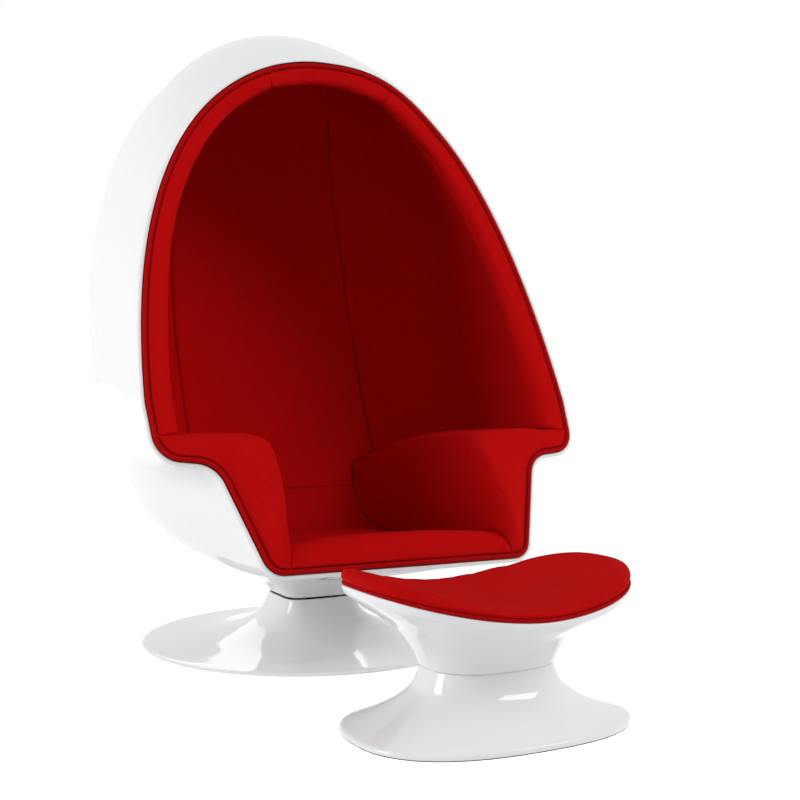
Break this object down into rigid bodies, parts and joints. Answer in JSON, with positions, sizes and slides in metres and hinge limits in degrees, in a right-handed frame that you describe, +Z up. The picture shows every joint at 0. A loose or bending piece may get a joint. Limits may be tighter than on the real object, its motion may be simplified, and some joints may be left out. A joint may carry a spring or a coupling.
{
  "type": "swivel pod chair",
  "caption": "Egg-shaped moulded pod chair with a padded red inside that swivels on a low trumpet foot, with a matching saddle-topped footstool.",
  "frame": {"origin": "on the floor, on the swivel axis, at the middle of the foot's floor pad", "axes": "+Z up along the swivel axis, -Y out of the pod's opening towards the footstool, +X to the right of someone who looks into the opening"},
  "size_m": [0.88, 1.2988, 1.326],
  "materials": {
    "shell_white": "polished white gel coat over glass-fibre moulding",
    "wool_red": "fine woven red wool cover over foam",
    "welt_red": "piped welt in the same red wool cover",
    "plywood": "bare birch plywood",
    "zinc_steel": "bright zinc-plated steel",
    "steel_black": "black painted steel",
    "bronze": "turned bronze bush",
    "rubber_black": "thin black rubber"
  },
  "bodies": {
    "base": {"trumpet_foot": "shell_white", "base_slab": "steel_black", "swivel_hub": "steel_black", "spindle_bush": "bronze", "thrust_race": "zinc_steel", "hub_bolts": "zinc_steel", "hub_nuts": "zinc_steel", "shelf_screws": "zinc_steel", "floor_pad": "rubber_black"},
    "pod": {"outer_shell": "shell_white", "edge_welt": "welt_red", "back_panel": "wool_red", "side_panel_left": "wool_red", "side_panel_right": "wool_red", "arm_pad_left": "wool_red", "arm_pad_right": "wool_red", "seat_cushion": "wool_red", "neck_block": "plywood", "threaded_inserts": "zinc_steel", "swivel_plate": "steel_black", "swivel_bolts": "zinc_steel", "spindle": "zinc_steel", "retaining_clip": "steel_black"},
    "footstool": {"stool_foot": "shell_white", "stool_dish": "shell_white", "stool_bolts": "zinc_steel", "stool_nuts": "zinc_steel", "stool_board": "plywood", "stool_screws": "zinc_steel", "stool_cushion": "wool_red", "stool_welt": "welt_red", "stool_edge_strip": "rubber_black"}
  },
  "joints": [
    {"name": "pod_swivel", "type": "hinge", "parent": "base", "child": "pod", "pos_m": [0, 0, 0.1], "axis": [0, 0, 1], "continuous": true},
    {"name": "footstool_slide", "type": "slide", "parent": "base", "child": "footstool", "axis": [0, -1, 0], "range_m": [0, 0.4]}
  ]
}
